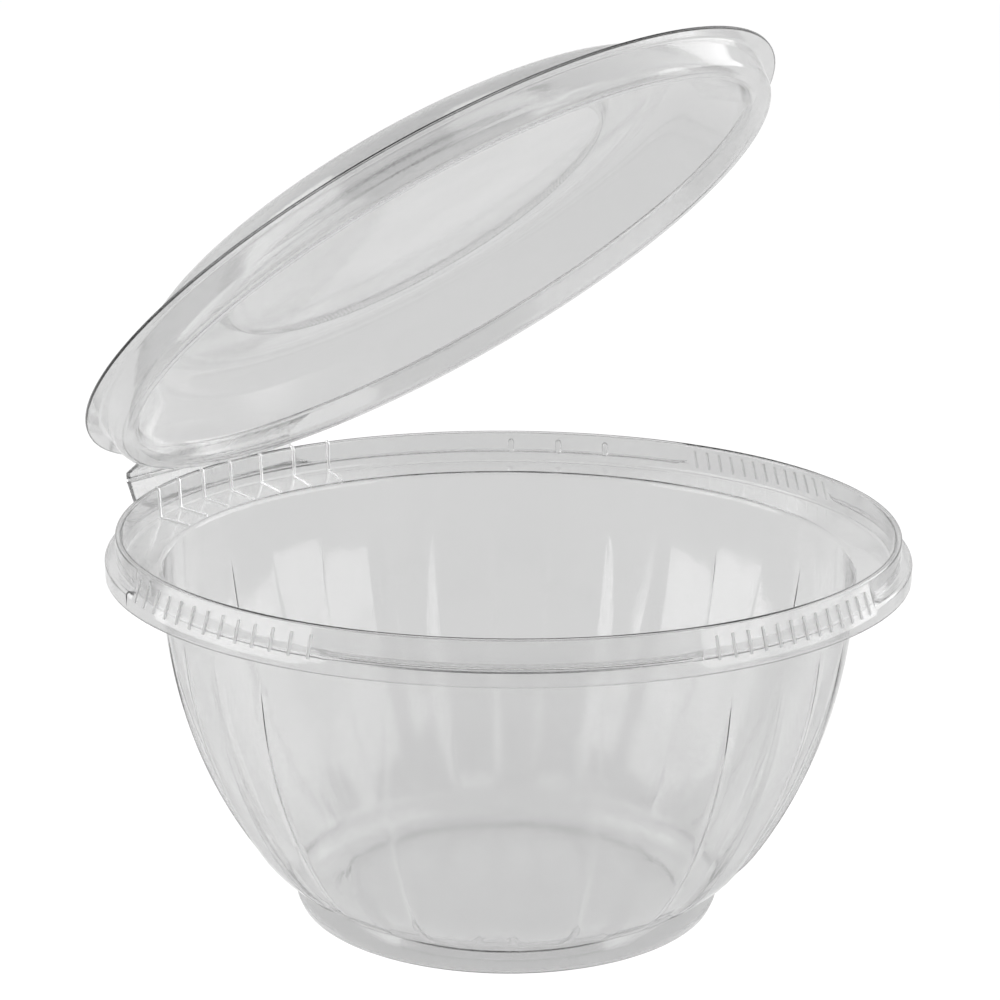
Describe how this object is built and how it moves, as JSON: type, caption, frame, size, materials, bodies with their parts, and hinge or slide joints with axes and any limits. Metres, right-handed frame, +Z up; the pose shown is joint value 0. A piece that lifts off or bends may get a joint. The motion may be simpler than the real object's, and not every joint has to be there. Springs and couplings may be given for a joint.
{
  "type": "hinged clamshell bowl",
  "caption": "Clear thin-walled round food bowl with fluted wall and a hinged, shallow-domed lid that stands open.",
  "frame": {"origin": "middle of the foot's standing face, on the axis of the bowl", "axes": "+Z up along the bowl's axis, +Y towards the hinge, X along the hinge's fold"},
  "size_m": [0.1706, 0.1735, 0.1912],
  "materials": {
    "clear_sheet": "clear, glossy, thin pressed sheet"
  },
  "bodies": {
    "bowl": {"bowl": "clear_sheet"},
    "lid": {"lid": "clear_sheet"}
  },
  "joints": [
    {"name": "lid_hinge", "type": "hinge", "parent": "bowl", "child": "lid", "pos_m": [0, 0.0878, 0.0836], "axis": [-1, 0, 0], "range_deg": [-38.6, 141.4]}
  ]
}
